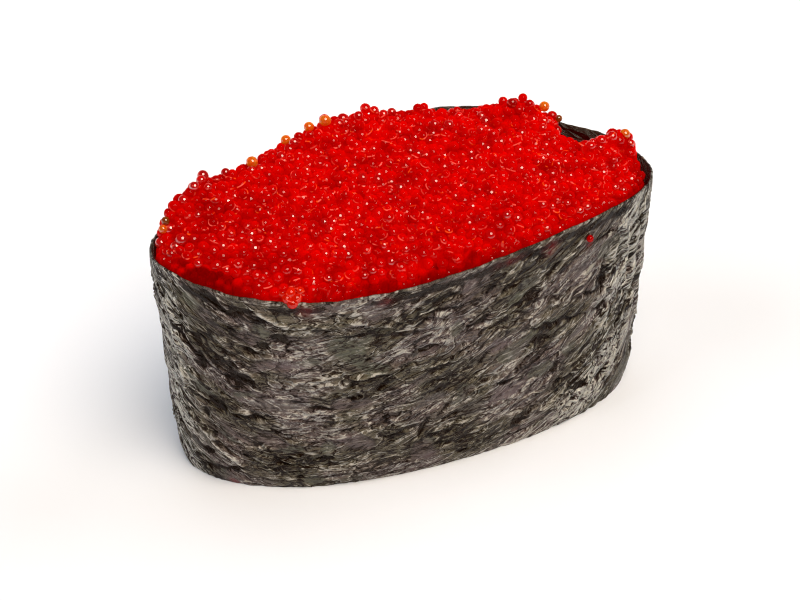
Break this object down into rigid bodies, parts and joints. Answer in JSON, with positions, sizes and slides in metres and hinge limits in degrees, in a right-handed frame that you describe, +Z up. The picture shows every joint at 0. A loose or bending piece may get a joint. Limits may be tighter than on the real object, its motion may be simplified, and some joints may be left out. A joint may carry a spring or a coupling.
{
  "type": "gunkan sushi",
  "caption": "Oval piece of sushi: pressed rice wrapped in an upright band of dried seaweed and heaped with small red fish eggs.",
  "frame": {"origin": "centre of the footprint box, on the surface that the piece stands on", "axes": "+X along the length of the oval, towards its blunter, higher end at the right of the usual view; +Y across it, towards the back; +Z up"},
  "size_m": [0.0562, 0.0287, 0.0337],
  "materials": {
    "nori": "moist dried seaweed, wrinkled, dark olive brown with a low sheen",
    "rice": "cooked white rice, slightly translucent and moist",
    "roe": "glossy, translucent saturated red fish eggs"
  },
  "bodies": {
    "root": {"nori": "nori", "rice": "rice", "roe": "roe"}
  },
  "joints": []
}
